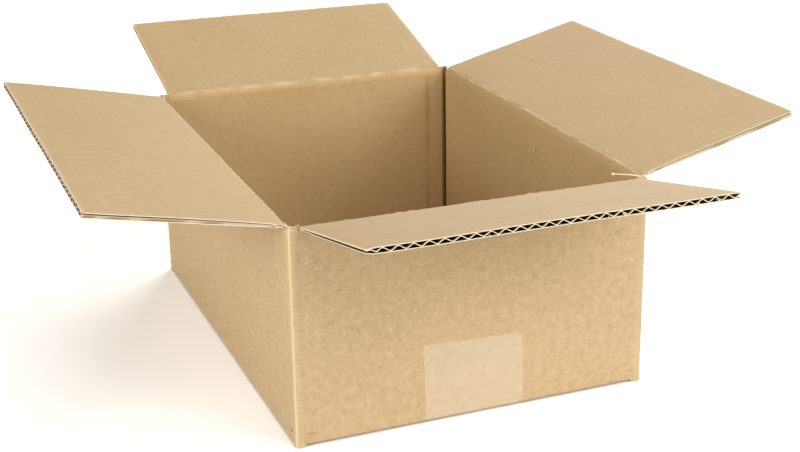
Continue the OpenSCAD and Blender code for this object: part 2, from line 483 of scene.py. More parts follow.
# How much each upright fold is rubbed paler, which also paints a highlight on its ridge, named by the
# panel before it, and the width of its ridge as a share of the turn. The faces beside it are rubbed a
# little too, partly painted light where they curve, and less and less further on.
FOLD_RUB_AND_HIGHLIGHT = {"right": 0.1, "front": 0.75, "left": 0.75}
RIDGE_SHARE = 0.11
BESIDE_RUB_AND_HIGHLIGHT = 0.25
BESIDE_FADE = 1.6 * MM


def fold_wear_and_highlight(column):
    """Wear and a painted highlight on the ridge of an upright fold, fading away from it."""
    if "turn" in column:
        from_ridge = abs(column["turn"] - 0.5)
        return BESIDE_RUB_AND_HIGHLIGHT + FOLD_RUB_AND_HIGHLIGHT[column["side"]] * bell(from_ridge, RIDGE_SHARE)
    from_fold = SIDES[column["side"]]["half"] - abs(column["along"])
    return BESIDE_RUB_AND_HIGHLIGHT * math.exp(-((from_fold - FOLD_REACH) / BESIDE_FADE))


def inner_wear_and_joint_shade(column, z):
    """Painted shade on the inner face by the joint: below 0 in its crack and in the press marks."""
    if column["side"] != "back" or "turn" in column or column["along"] > 0:
        return fold_wear_and_highlight(column)
    from_fold = half_w - abs(column["along"])
    # Painted shade in the crack
    if from_fold < JOINT_GROOVE_REACH[0] + NUDGE:
        return -1.0
    # Darker in the press marks: partly the crushed paper's tone, partly painted shade of dents
    dark = 0.0
    for mark, spread, depth in PRESS_MARKS:
        dark -= depth * bell(from_fold - mark, spread)
    # The press marks are fainter in places
    return dark * (0.7 + 0.5 * wobble(0, z, 41, 12 * MM))


def in_post(column):
    """Whether a column lies in a corner post, past the slots that divide the flaps."""
    if "turn" in column:
        return True
    return abs(column["along"]) > SIDES[column["side"]]["half"] - POST_W - HAIR


def post_cell(j):
    return in_post(ring[j]) and in_post(ring[j + 1])


def flap_cell(j):
    """Whether a cell's columns lie between a panel's slots, where its flaps join on."""
    a, b = ring[j], ring[j + 1]
    limit = SIDES[a["side"]]["half"] - SLOT_HALF + HAIR
    if "turn" in a or "turn" in b or a["side"] != b["side"]:
        return False
    return abs(a["along"]) <= limit and abs(b["along"]) <= limit


def ring_cell(i, j):
    return low_row <= i < high_row or post_cell(j)


def ring_open(i, j, edge):
    return edge == 0 and i == low_row and flap_cell(j)


sheet = new_build()
add_shell(
    sheet,
    *grids([[(*ring_points(column, z), (column_u(column), z), fold_wear_and_highlight(column)) for column in ring]
            for z in SHEET_ROWS]),
    inner_wear=[[inner_wear_and_joint_shade(column, z) for column in ring] for z in SHEET_ROWS],
    keep=ring_cell,
    open_rim=ring_open,
)


# Bottom flaps
# The long panels' flaps are the outer layer and meet at the middle. The end panels' flaps lie on
# them, and climb one board thickness from their folds. Their cut ends show the flutes.
def arc(centre, radius, start_deg, end_deg, count):
    """Points of an arc in a section, out from the middle and up."""
    made = []
    for k in range(count + 1):
        angle = math.radians(start_deg + (end_deg - start_deg) * k / count)
        made.append((centre[0] + radius * math.cos(angle), centre[1] + radius * math.sin(angle)))
    return made


def run_to(line, target, longest):
    """Adds evenly spaced points in a straight run to the end of a section line."""
    start = line[-1]
    far = math.dist(start, target)
    count = max(1, math.ceil(far / longest))
    for k in range(1, count + 1):
        line.append(tuple(a + (b - a) * (k / count) for a, b in zip(start, target)))


UNDER_FOLD_R = 2.2 * MM
END_FOLD_R = 1.6 * MM
END_FOLD_Z = 0.71 * MM
ARC_STEPS = 6
FLAP_STEP = 12 * MM
# How much their folds are rubbed, over how many steps of the arc
UNDER_RUBBED = (0.3, 1.6)
MEET_GAP = 0.8 * MM
SLOT_END_Z = 0.9 * MM
FLUTES_FROM = 9.2 * MM
inner_layer_z = OUTER_LAYER_Z + board_t
floor_z = inner_layer_z + board_t
flap_l = half_w - board_t / 2 - MEET_GAP / 2


def beside_slot(side, along, beside_wall):
    """A place along a panel: at the slot's edge it moves up to the post, where that is wall."""
    edge = SIDES[side]["half"] - SLOT_HALF
    if not beside_wall or abs(along) < edge - HAIR:
        return along
    return math.copysign(edge + SLOT_HALF - POST_W - KNIFE_CUT, along)


for side in SIDES:
    depth, half = SIDES[side]["depth"], SIDES[side]["half"]
    ends = side in ("front", "back")
    fold_z = END_FOLD_Z if ends else OUTER_LAYER_Z
    fold_r = END_FOLD_R if ends else UNDER_FOLD_R
    top_z = floor_z if ends else inner_layer_z
    just_under = wall_low - NUDGE
    outer_line = [(depth, wall_low), (depth, just_under)]
    outer_line += arc((depth - fold_r, fold_z + fold_r), fold_r, 0, -90, ARC_STEPS)
    inner_line = [(depth - board_t, wall_low), (depth - board_t, just_under)]
    inner_line += arc(
        (depth - board_t - INNER_FOLD_R, top_z + INNER_FOLD_R), INNER_FOLD_R, 0, -90, ARC_STEPS)
    if ends:
        solid_end = depth - FLUTES_FROM
        outer_line.append((depth - POST_W, inner_layer_z))
        outer_line.append((solid_end, inner_layer_z))
        inner_line.append((depth - POST_W, top_z))
        inner_line.append((solid_end, top_z))
    else:
        solid_end = MEET_GAP / 2
        run_to(outer_line, (solid_end, OUTER_LAYER_Z), FLAP_STEP)
        run_to(inner_line, (solid_end, top_z), FLAP_STEP)
    columns = [c["along"] for c in ring if c["side"] == side and "along" in c
               and abs(c["along"]) <= half - SLOT_HALF + HAIR]
    sheet_u = SIDES[side]["sheet_u"]

    def upright(point):
        from_face = depth - board_t - point[0]
        return SLOT_END_Z < point[1] < wall_low and from_face < INNER_FOLD_R / 2

    def cell(outer_point, inner_point, along, k):
        points = [at_side(side, beside_slot(side, along, upright(point)), *point)
                  for point in (outer_point, inner_point)]
        from_middle = k - 2 - ARC_STEPS / 2
        return (*points, (sheet_u - along, outer_point[1] - (depth - outer_point[0])),
                UNDER_RUBBED[0] * bell(from_middle, UNDER_RUBBED[1]))

    add_shell(
        sheet,
        *grids([[cell(*pair, along, k) for along in columns]
                for k, pair in enumerate(zip(outer_line, inner_line))]),
        open_rim=lambda i, j, edge: i == 0 and edge == 0,
    )


WAVE_TIP = 0.96


def flute_wave(x):
    """Height of the medium's wave from -1 to 1: straight legs with round tips."""
    return math.asin(WAVE_TIP * math.sin(2 * math.pi * x / FLUTE_PITCH)) / math.asin(WAVE_TIP)


# How far the flutes wander sideways, how unequal they are, and how far a knife's crush reaches, in
# flutes. A cut spreads the medium's fibres and frays them: by how many times, over how much board.
WANDER = 0.4 * MM
UNEQUAL = 0.08
CRUSH_REACH = 0.62
CUT_SPREAD = (0.5, 0.7 * MM)
CUT_FRAY = (4, 0.6 * MM)
MOST_MEDIUM = 0.75
CUT_FADE = 1.0 * MM
# Columns beside a side cut, and rows along the flutes, closer at both ends
NEAR_SIDE = (0.5 * MM, 1.1 * MM, 1.9 * MM)
FLUTE_ROWS = (0, 0.03, 0.08, 0.15, 0.25, 0.35, 0.45, 0.55, 0.65, 0.75, 0.85, 0.93, 0.97, 0.99, 1)


def add_fluted_board(build, place, width, span, thickness, seed, sheet_at, holds=(0, 0), cut=(0, 0)):
    """Corrugated board with its true flutes: two liners, and the wave between them.
    place gives a point from across the flutes, along them and up through the board. span gives the
    flutes' start and end, and thickness the board's. holds says on which liner the medium lies at
    both sides, where the knife crushed the last flute: 1 for the upper and -1 for the lower. cut is
    a side, -1 or 1, and the wave's height where the knife ran along it there."""
    def drift(across):
        return across + WANDER * wobble(across, 0, seed, 17 * MM)

    cut_side, cut_height = cut
    start_shift = cut_height * FLUTE_PITCH / 4 - drift(cut_side * width / 2) if cut_side else 0.0

    def wave(across):
        shifted = drift(across) + start_shift
        height = flute_wave(shifted) * (1 + UNEQUAL * wobble(across, 5, seed, 5 * MM))
        for hold, from_side in zip(holds, (across + width / 2, width / 2 - across)):
            near = abs(hold) * ease(1.25 - from_side / (CRUSH_REACH * FLUTE_PITCH))
            height += (hold - height) * near
        return max(-1, min(1, height))

    across_liner = steps(-width / 2, width / 2, FLUTE_PITCH / 2)
    across_liner[1:1] = [across_liner[0] + near for near in NEAR_SIDE]
    across_liner[-1:-1] = [across_liner[-1] - near for near in reversed(NEAR_SIDE)]
    across_wave = steps(-width / 2, width / 2, FLUTE_PITCH / 10)

    def cut_spread(across, along):
        """How much thicker the knife left the medium's fibres at the cut."""
        return 1 + CUT_SPREAD[0] * math.exp(-(span(across)[1] - along) / CUT_SPREAD[1])

    def layer(columns, height, finishes, edge_wear, side_fade=CUT_FADE, side_less=0, rim=CUT_PAPER):
        """One paper of the board. Its wear fades from its free end, and from its sides. On the medium
        this fade also paints the light that reaches into the flutes from the open sides.
        """
        rows = []
        for share in FLUTE_ROWS:
            row = []
            for across in columns:
                start, end = span(across)
                along = start + (end - start) * share
                top, bottom = height(across, along)
                from_side = (width / 2 - abs(across)) / side_fade + side_less
                near = min(from_side, (end - along) / CUT_FADE)
                row.append((place(across, along, top), place(across, along, bottom),
                            sheet_at(across, along), edge_wear * math.exp(-near)))
            rows.append(row)
        add_shell(build, *grids(rows), faces=finishes, lifts=(OTHER_FACE, 0.0), rim=rim)

    def upper(across, along):
        top = thickness(across, along) / 2
        return top, top - LINER_T

    def lower(across, along):
        bottom = -thickness(across, along) / 2
        return bottom + LINER_T, bottom

    def middle(across, along):
        inside = thickness(across, along) - 2 * LINER_T
        from_cut = width / 2 - cut_side * across
        frayed = CUT_FRAY[0] * max(0, -cut_height) * math.exp(-from_cut / CUT_FRAY[1])
        medium_t = min(MOST_MEDIUM * inside, MEDIUM_T * (cut_spread(across, along) + frayed))
        room = inside - medium_t
        height = wave(across) * room / 2
        return height + medium_t / 2, height - medium_t / 2

    # The liners' faces towards the flutes take the medium's finish too, painted shade inside the flutes
    layer(across_liner, upper, (LINER, MEDIUM_IN_PAINTED_SHADE), 0.75)
    layer(across_liner, lower, (MEDIUM_IN_PAINTED_SHADE, LINER), 0.4)
    # The medium stays pale up to 3.5 mm in from the sides: its cut colour, and painted light reaching in
    layer(across_wave, middle, (MEDIUM_IN_PAINTED_SHADE, MEDIUM_IN_PAINTED_SHADE), 0.97, side_fade=3.5 * MM, side_less=0.19, rim=MEDIUM_IN_PAINTED_SHADE)


for side in ("front", "back"):
    depth = SIDES[side]["depth"]
    reach = flap_l + board_t / 2
    sheet_u = SIDES[side]["sheet_u"]
    mid_z = inner_layer_z + board_t / 2
    add_fluted_board(
        sheet,
        lambda across, along, up: at_side(side, across, depth - along, mid_z + up),
        2 * (half_w - SLOT_HALF),
        lambda across: (FLUTES_FROM, reach),
        lambda across, along: board_t,
        11 if side == "front" else 12,
        lambda across, along: (sheet_u - across, -along),
    )

# Glue tab
# The back panel's edge turns round the back right corner and is glued on the right panel's outside.
# It is the same board, cut back at a slant at both ends, with a gap beside the right panel's end.
TAB_L = 32 * MM
TAB_INSET = 6 * MM
TAB_TAPER = 7 * MM
TAB_CRUSH = 4 * MM
GLUE_T = 0.03 * MM
# The tab starts this far inside the back panel's end, so that the two join
TAB_LAP = 0.2 * MM
TAB_RUBBED = 1.5
TAB_ROW_SHARE = 0.06
# Where on the flat sheet the tab's fold and its fluted part take their pattern
TAB_U = (0.5, 0.55)
tab_low = inner_layer_z + TAB_INSET
tab_high = crease_z - TAB_INSET
tab_outer = half_w + board_t
fold_y = half_l - FOLD_REACH
tab_end = half_l - TAB_L
groove_y = half_l - board_t + JOINT_GROOVE
corner_line = [((tab_outer - FOLD_REACH, half_l), (half_w - TAB_LAP, groove_y))]
for k in range(0, FOLD_STEPS + 1):
    t = k / FOLD_STEPS
    short, drop = fold_curve(FOLD_REACH, FOLD_SHARPNESS, t)
    corner_line.append((
        (tab_outer - short, half_l - drop),
        (half_w + GLUE_T * t, groove_y - JOINT_GROOVE * t),
    ))
corner_line.append(((tab_outer, fold_y - TAB_CRUSH), (half_w + GLUE_T, fold_y - TAB_CRUSH)))


def tab_height(y, share):
    """Height at a share of the tab's slanted length, which shortens towards its free end."""
    cut = TAB_TAPER * min(1, max(0, (fold_y - y) / (fold_y - tab_end)))
    return tab_low + cut + (tab_high - tab_low - 2 * cut) * share


add_shell(sheet, *grids([[
    (
        (*outer, tab_height(outer[1], share)),
        (*inner, tab_height(outer[1], share)),
        (TAB_U[0] + k * MM, share * (tab_high - tab_low)),
        bell(k - 1 - FOLD_STEPS / 2, TAB_RUBBED),
    ) for k, (outer, inner) in enumerate(corner_line)
] for share in steps(0, 1, TAB_ROW_SHARE)]))
tab_run = fold_y - TAB_CRUSH - tab_end


def tab_place(across, along, up):
    return (half_w + GLUE_T + board_t / 2 + up, tab_end + tab_run / 2 + across, along)


def tab_span(across):
    y = tab_end + tab_run / 2 + across
    return tab_height(y, 0), tab_height(y, 1)


add_fluted_board(
    sheet, tab_place, tab_run, tab_span,
    lambda across, along: board_t - GLUE_T,
    13,
    lambda across, along: (TAB_U[1] - across, along - OTHER_FACE),
)


# Board finish
# Brown kraft linerboard is unbleached softwood paper: matt, with a cloudy look, fine fibres that lie
# along the sheet, dark specks of bark and pale flecks. Scores and rubbed folds are a little paler,
# which also paints highlights on the folds and creases. Painted shade darkens the joint's crack and
# press marks.
def kraft_liner():
    """Matt kraft paper. The pattern runs on the flat sheet's own metres."""
    material, tree, surface = new_material("kraft_liner")
    spot = add_node(tree, "ShaderNodeUVMap", {"uv_map": "sheet"}).outputs["UV"]
    along_fibres = add_node(tree, "ShaderNodeMapping", inputs={
        "Vector": spot, "Scale": (0.6, 1.0, 1.0),
    }).outputs["Vector"]
    fleck_spot = add_node(tree, "ShaderNodeMapping", inputs={
        "Vector": spot, "Location": (3.1, 1.7, 0.4),
    }).outputs["Vector"]
    marks = {"wear": add_node(tree, "ShaderNodeAttribute", {"attribute_name": "wear"}).outputs["Fac"]}
    # Real fibres are 0.03 mm wide: the mottle draws them over ten times as coarse, so that they show
    for name, vector, grain, detail, rough in (
        ("clouds", spot, 38 * MM, 2, 0.55),
        ("blotches", spot, 3.6 * MM, 3, 0.55),
        ("mottle", along_fibres, 0.8 * MM, 3, 0.6),
        ("bark", spot, 1.7 * MM, 1, 0.4),
        ("flecks", fleck_spot, 2.4 * MM, 1, 0.4),
    ):
        marks[name] = add_node(tree, "ShaderNodeTexNoise", {"noise_dimensions": "3D"}, {
            "Vector": vector, "Scale": 1 / grain, "Detail": detail, "Roughness": rough,
        }).outputs["Fac"]
    # The liner's inner side is tinted a little redder and darker, painted shade for the box's inside, and
    # is more even
    place = add_node(tree, "ShaderNodeSeparateXYZ", inputs={"Vector": spot}).outputs["Y"]
    marks["inside"] = add_node(tree, "ShaderNodeMath", {"operation": "GREATER_THAN"}, {
        0: place, 1: OTHER_FACE / 2,
    }).outputs[0]
    uneven = add_node(tree, "ShaderNodeMath", {"operation": "MULTIPLY_ADD"}, {
        0: marks["inside"], 1: -0.5, 2: 1.0,
    }).outputs[0]
    # Each layer: its mark, the levels from and to which it comes in, its colour, the way that it is
    # laid on the colour below, and whether the inner side has less of it
    colour = srgb("#b99f76")
    for name, low, high, tint, way, less_inside in (
        ("clouds", 0.32, 0.68, srgb("#bda27a"), "MIX", False),
        ("blotches", 0.5, 0.75, srgb("#c4ab85"), "MIX", True),
        ("blotches", 0.5, 0.25, srgb("#b1966d"), "MIX", True),
        ("mottle", 0.52, 0.8, srgb("#cab18b"), "MIX", True),
        ("mottle", 0.48, 0.2, srgb("#aa8f66"), "MIX", True),
        ("inside", 0.0, 1.0, (1.0, 0.955, 0.845, 1), "MULTIPLY", False),
        ("bark", 0.75, 0.83, srgb("#7f6238"), "MIX", False),
        ("flecks", 0.78, 0.86, srgb("#dccba8"), "MIX", False),
        # Paler where rubbed, and a painted highlight on folds and creases
        ("wear", 0.0, 1.1, srgb("#dac19a"), "MIX", False),
        # Dark brown below 0: painted shade in the joint's crack, and in its press marks with the crushed
        # paper's tone
        ("wear", 0.0, -1.0, srgb("#86602c"), "MIX", False),
    ):
        share = add_node(tree, "ShaderNodeMapRange", {"interpolation_type": "SMOOTHSTEP"}, {
            "Value": marks[name], "From Min": low, "From Max": high,
        }).outputs["Result"]
        if less_inside:
            share = add_node(tree, "ShaderNodeMath", {"operation": "MULTIPLY"}, {
                0: share, 1: uneven,
            }).outputs[0]
        colour = add_node(tree, "ShaderNodeMix", {"data_type": "RGBA", "blend_type": way}, {
            0: share, 6: colour, 7: tint,
        }).outputs[2]
    # The liners sink a few hundredths of a millimetre between the flutes that carry them
    washboard = add_node(tree, "ShaderNodeTexWave", {"wave_type": "BANDS", "bands_direction": "X"}, {
        "Vector": spot, "Scale": math.pi / FLUTE_PITCH / 10, "Distortion": 0.0,
    }).outputs["Fac"]
    soft = add_node(tree, "ShaderNodeBump", inputs={
        "Strength": 0.6, "Distance": 0.03 * MM, "Height": washboard,
    }).outputs["Normal"]
    paper = add_node(tree, "ShaderNodeBump", inputs={
        "Strength": 0.5, "Distance": 0.08 * MM, "Height": marks["mottle"], "Normal": soft,
    }).outputs["Normal"]
    bsdf = add_node(tree, "ShaderNodeBsdfPrincipled", inputs={
        "Base Color": colour,
        "Roughness": 0.78,
        "IOR": 1.45,
        "Normal": paper,
    })
    tree.links.new(bsdf.outputs["BSDF"], surface)
    return material


def raw_fibre(name, grain, dark, pale, at_cut=None, specular=0.5):
    """Rough bare paper fibre between two browns, with another colour where a knife tore it."""
    material, tree, surface = new_material(name)
    spot = add_node(tree, "ShaderNodeUVMap", {"uv_map": "sheet"}).outputs["UV"]
    fuzz = add_node(tree, "ShaderNodeTexNoise", inputs={
        "Vector": spot, "Scale": 1 / grain, "Detail": 3.0,
    }).outputs["Fac"]
    colour = add_node(tree, "ShaderNodeMix", {"data_type": "RGBA"}, {
        0: fuzz, 6: srgb(dark), 7: srgb(pale),
    }).outputs[2]
    if at_cut:
        wear = add_node(tree, "ShaderNodeAttribute", {"attribute_name": "wear"}).outputs["Fac"]
        torn = add_node(tree, "ShaderNodeMath", {"operation": "POWER"}, {0: wear, 1: 3.0}).outputs[0]
        colour = add_node(tree, "ShaderNodeMix", {"data_type": "RGBA"}, {
            0: torn, 6: colour, 7: srgb(at_cut),
        }).outputs[2]
    bsdf = add_node(tree, "ShaderNodeBsdfPrincipled", inputs={
        "Base Color": colour, "Roughness": 0.95, "IOR": 1.45, "Specular IOR Level": specular,
    })
    tree.links.new(bsdf.outputs["BSDF"], surface)
    return material


def cut_board():
    """A cut through closed board: two pale liners with the medium's wave between them, and painted shade
    in the flutes' hollows.
    """
    material, tree, surface = new_material("cut_board_edge")
    spot = add_node(tree, "ShaderNodeUVMap", {"uv_map": "sheet"}).outputs["UV"]
    parts = add_node(tree, "ShaderNodeSeparateXYZ", inputs={"Vector": spot}).outputs
    found = {"x": parts["X"], "y": parts["Y"]}
    for name, operation, a, b in (
        ("up", "FRACT", "y", 0.0),
        ("off_middle", "SUBTRACT", "up", board_t / 2),
        ("from_middle", "ABSOLUTE", "off_middle", 0.0),
        ("liner", "GREATER_THAN", "from_middle", board_t / 2 - 1.5 * LINER_T),
        ("turn", "MULTIPLY", "x", 2 * math.pi / FLUTE_PITCH),
        ("swing", "SINE", "turn", 0.0),
        ("crest", "MULTIPLY", "swing", board_t / 2 - 2 * LINER_T),
        ("off_wave", "SUBTRACT", "off_middle", "crest"),
        ("from_wave", "ABSOLUTE", "off_wave", 0.0),
        ("wave", "LESS_THAN", "from_wave", 2 * MEDIUM_T),
        ("dull_wave", "MULTIPLY", "wave", 0.8),
        ("pale", "MAXIMUM", "liner", "dull_wave"),
    ):
        found[name] = add_node(tree, "ShaderNodeMath", {"operation": operation}, {
            0: found[a], 1: found.get(b, b),
        }).outputs[0]
    # Painted shade, dark brown, in the hollows between the liners and the wave
    colour = add_node(tree, "ShaderNodeMix", {"data_type": "RGBA"}, {
        0: found["pale"], 6: srgb("#8a6c42"), 7: srgb("#dccaa4"),
    }).outputs[2]
    bsdf = add_node(tree, "ShaderNodeBsdfPrincipled", inputs={
        "Base Color": colour, "Roughness": 0.95, "IOR": 1.45,
    })
    tree.links.new(bsdf.outputs["BSDF"], surface)
    return material


BOARD_FINISHES = [
    kraft_liner(),
    # The pale, torn-looking fibre that shows where a liner was cut
    raw_fibre("cut_liner_edge", 0.9 * MM, "#cfbf99", "#e8dcc2"),
    cut_board(),
    # Semi-chemical fluting paper, pale at its cuts. Its browns are darker than the paper's own: they
    # paint the shade inside the flutes.
    raw_fibre("fluting_medium", 1.5 * MM, "#6a4821", "#866031", "#ddd2ba", 0.15),
]


SAME_POINT = 0.002 * MM
SHARP_FROM = math.radians(38)


def make_piece(build, name):
    """A mesh object of a build, with its closed faces turned outward and its finishes set."""
    mesh = bpy.data.meshes.new(name)
    mesh.from_pydata(build["points"], [], build["faces"])
    layer = mesh.uv_layers.new(name="sheet")
    layer.data.foreach_set("uv", np.array(
        [corner for face in build["uv"] for corner in face], np.float32).ravel())
    mesh.polygons.foreach_set("material_index", np.array(build["finish"], np.int32))
    wear = mesh.attributes.new("wear", "FLOAT", "POINT")
    wear.data.foreach_set("value", np.array(build["wear"], np.float32))
    work = bmesh.new()
    work.from_mesh(mesh)
    bmesh.ops.remove_doubles(work, verts=work.verts, dist=SAME_POINT)
    bmesh.ops.delete(work, geom=[v for v in work.verts if not v.link_faces], context="VERTS")
    bmesh.ops.recalc_face_normals(work, faces=work.faces)
    work.to_mesh(mesh)
    work.free()
    mesh.shade_smooth()
    mesh.set_sharp_from_angle(angle=SHARP_FROM)
    for finish in BOARD_FINISHES:
        mesh.materials.append(finish)
    piece = bpy.data.objects.new(name, mesh)
    bpy.context.scene.collection.objects.link(piece)
    return piece


folded_sheet = make_piece(sheet, "folded_sheet")
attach(folded_sheet, "box")
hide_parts("box_body")

# Top flaps
# Each is the sheet's own board beyond its top crease, open at about the angle that it springs to.
# The score has pressed the board thin at the crease, and the knives that cut the slots its sides.
# The end flaps warp inward only and the long ones outward only, so that they still close flat.
# For each: its noise, its warp in millimetres, how far its end stands askew, the liner that holds
# the medium at each side, a knife's side and height in the wave, and how much its sides are crushed.
# For its crease: the height of its steps, how far its bend reaches, and how much it is rubbed where,
# which also paints its highlight.
FLAP_FACTS = {
    "front": {"seed": 21, "warp": 0.3, "askew": 0.0, "holds": (1, 0), "cut": (1, 0.9),
              "crush": (0.38, 0.14), "steps": 0.45 * MM, "bend": 1.3 * MM, "scuff": (0.25, 0.6)},
    "back": {"seed": 22, "warp": 0.3, "askew": 0.9 * MM, "holds": (-1, 1), "cut": (0, 0),
             "crush": (0.3, 0.3), "steps": 0.16 * MM, "bend": 2.1 * MM, "scuff": (0.45, 1.6)},
    "left": {"seed": 23, "warp": -0.4, "askew": 0.0, "holds": (0, 0), "cut": (1, -1),
             "crush": (0.2, 0.1), "steps": 0.32 * MM, "bend": 1.5 * MM, "scuff": (0.1, 0.8)},
    "right": {"seed": 24, "warp": -0.3, "askew": 0.0, "holds": (0, 0), "cut": (-1, -1),
              "crush": (0.1, 0.2), "steps": 0.16 * MM, "bend": 1.2 * MM, "scuff": (0.8, 0.5)},
}
CORNER_R = 0.5 * MM
PRESSED_SHARE = 0.5
PRESSED_FADE = 17 * MM
SIDE_CRUSH_REACH = 2 * MM
CUT_WAVER = 0.14 * MM


def flap_geometry(side):
    """Where a flap's crease lies in its panel's section, its directions, length and half width."""
    joint = joints[side + "_flap_crease"]
    tilt = math.radians(joint["range_deg"][1] - 90)
    run = (math.sin(tilt), math.cos(tilt))
    up = (-math.cos(tilt), math.sin(tilt))
    lift = joint["pos_m"][2] - crease_z
    pivot_out = SIDES[side]["depth"] - board_t / 2
    crease = (pivot_out - lift * up[0], joint["pos_m"][2] - lift * up[1])
    low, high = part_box(side + "_flap")
    width = high.x - low.x if side in ("front", "back") else high.y - low.y
    return {"crease": crease, "run": run, "up": up, "half": width / 2, "length": flap_l}


def on_flap(shape, along, height=0.0):
    """A place along a flap and up from its middle, given out from the box's middle and up."""
    return [crease + along * run + height * up
            for crease, run, up in zip(shape["crease"], shape["run"], shape["up"])]


def flap_thickness(side, half, across, along):
    """Thickness of a flap's board: pressed at its crease, and by the knives at its two sides."""
    thick = board_t * (1 - (1 - PRESSED_SHARE) * math.exp(-along / PRESSED_FADE))
    for crush, from_side in zip(FLAP_FACTS[side]["crush"], (half + across, half - across)):
        thick *= 1 - crush * math.exp(-(max(0, from_side) / SIDE_CRUSH_REACH) ** 1.5)
    return thick


def flap_place(side, shape):
    """The function that places a point of a flap, with the flap's slight warp."""
    facts = FLAP_FACTS[side]

    def place(across, along, up):
        share = ease((along - BAND_FLAP) / (shape["length"] - BAND_FLAP))
        uneven = 1 + wobble(across, along, facts["seed"], 45 * MM)
        height = up + MM * facts["warp"] * uneven * share
        across += facts["askew"] * share
        return at_side(side, across, *on_flap(shape, along, height))

    return place


def flap_span(side, shape):
    """The function that gives where the flutes start and end: a slightly wavy cut with soft corners."""
    facts = FLAP_FACTS[side]

    def span(across):
        into = max(0, abs(across) - (shape["half"] - CORNER_R))
        rounding = CORNER_R - math.sqrt(max(0, CORNER_R ** 2 - into ** 2))
        wavy = CUT_WAVER * wobble(across, 0, facts["seed"] + 5, 9 * MM)
        return BAND_FLAP, shape["length"] - rounding + wavy * (1 - into / CORNER_R)

    return span


for side in SIDES:
    shape = flap_geometry(side)
    board = new_build()
    sheet_u = SIDES[side]["sheet_u"]
    add_fluted_board(
        board,
        flap_place(side, shape),
        2 * shape["half"],
        flap_span(side, shape),
        lambda across, along: flap_thickness(side, shape["half"], across, along),
        FLAP_FACTS[side]["seed"],
        lambda across, along: (sheet_u - across, crease_z + along),
        FLAP_FACTS[side]["holds"],
        FLAP_FACTS[side]["cut"],
    )
    flap = make_piece(board, side + "_flap_board")
    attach(flap, side)
    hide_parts(side + "_flap")

# Top creases
# The sheet isn't cut at a crease: the liners run on from the panel into the flap, pressed together
# along the score line. Each band runs from the panel's full board to the flap's.
BLEND_REACH = 3 * MM
# Places along a band, below its bend on the panel and beyond it on the flap
ON_PANEL = (3.2 * MM, 2.7 * MM, 2.2 * MM)
ON_FLAP = (2.2 * MM, 3 * MM, 4 * MM, 5 * MM, 6 * MM)
BEND_STEPS = 8
CREASE_STEP = 1.1 * MM
# How far a crease wanders up and down, coarsely and finely, each with its grain
COARSE_WANDER = (0.6 * MM, 14 * MM)
FINE_WANDER = (0.2 * MM, 2.4 * MM)
# Below this a band is part of the wall. The rubbed line along a crease, which also paints its
# highlight, lies this many millimetres beyond it, and is uneven by this grain.
BAND_IS_WALL = -0.6 * MM
RUB_AND_HIGHLIGHT_PLACE = 0.3
RUB_AND_HIGHLIGHT_GRAIN = 7 * MM


def crease_section(side, shape, across):
    """Middle line of a crease band's section, with each point's distance from the crease."""
    depth = SIDES[side]["depth"]
    crease = shape["crease"]
    seed = FLAP_FACTS[side]["seed"]
    uneven = COARSE_WANDER[0] * wobble(across, 0, seed + 9, COARSE_WANDER[1])
    # The score crushes the flutes one by one, so the crease steps from each to the next
    step = math.sin(2 * math.pi * across / FLUTE_PITCH + 2 * wobble(across, 1, seed, 20 * MM))
    uneven += FLAP_FACTS[side]["steps"] * step * (0.6 + 0.8 * wobble(across, 2, seed, 11 * MM))
    uneven += FINE_WANDER[0] * wobble(across, 3, seed, FINE_WANDER[1])
    middle_out = depth - board_t / 2
    bend = FLAP_FACTS[side]["bend"]
    line = [(middle_out, crease_z - below, -below) for below in ON_PANEL]
    start = (middle_out, crease[1] - bend)
    end = on_flap(shape, bend)
    for k in range(BEND_STEPS + 1):
        t = k / BEND_STEPS
        out, z = [(1 - t) ** 2 * a + 2 * t * (1 - t) * b + t * t * c
                  for a, b, c in zip(start, crease, end)]
        line.append((out, z + uneven * math.sin(math.pi * t), (2 * t - 1) * bend))
    line += [(*on_flap(shape, beyond), beyond) for beyond in ON_FLAP]
    return line


def square_to(before, after):
    """The direction square to a section line, on the left of its run."""
    far = math.dist(before, after)
    return -(after[1] - before[1]) / far, (after[0] - before[0]) / far


def band_thickness(side, half, across, place):
    """Thickness of a crease band at a distance from the crease, below 0 on the panel."""
    if place >= 0:
        beside = across * (1 - 0.2 * ease(1 - place / BAND_FLAP))
        return flap_thickness(side, half, beside, place)
    return board_t * (PRESSED_SHARE + (1 - PRESSED_SHARE) * ease(-place / BAND_WALL))


for side in SIDES:
    shape = flap_geometry(side)
    facts = FLAP_FACTS[side]
    rub_and_highlight_strength, rub_and_highlight_reach = facts["scuff"]
    columns = steps(-shape["half"], shape["half"], CREASE_STEP)
    sections = [crease_section(side, shape, across) for across in columns]
    rows = []
    for k in range(len(sections[0])):
        row = []
        for across, line in zip(columns, sections):
            up = square_to(line[max(0, k - 1)][:2], line[min(len(line) - 1, k + 1)][:2])
            out, z, place = line[k]
            thick = band_thickness(side, shape["half"], across, place) / 2
            along = beside_slot(side, across, place < BAND_IS_WALL)
            # A paler line along the crease: rubbing, and a painted highlight on its bend
            scuff = rub_and_highlight_strength * max(0, 1 + wobble(across, 4, facts["seed"], RUB_AND_HIGHLIGHT_GRAIN))
            row.append((
                at_side(side, along, out - up[0] * thick, z - up[1] * thick),
                at_side(side, along, out + up[0] * thick, z + up[1] * thick),
                (SIDES[side]["sheet_u"] - across, crease_z + place),
                scuff * bell(place / MM - RUB_AND_HIGHLIGHT_PLACE, rub_and_highlight_reach),
            ))
        rows.append(row)
    band = new_build()
    add_shell(band, *grids(rows))
    crease = make_piece(band, side + "_crease_band")
    low = at_side(side, 0, shape["crease"][0], shape["crease"][1] - BLEND_REACH)
    high = at_side(side, 0, *on_flap(shape, BLEND_REACH))
    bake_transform(crease)

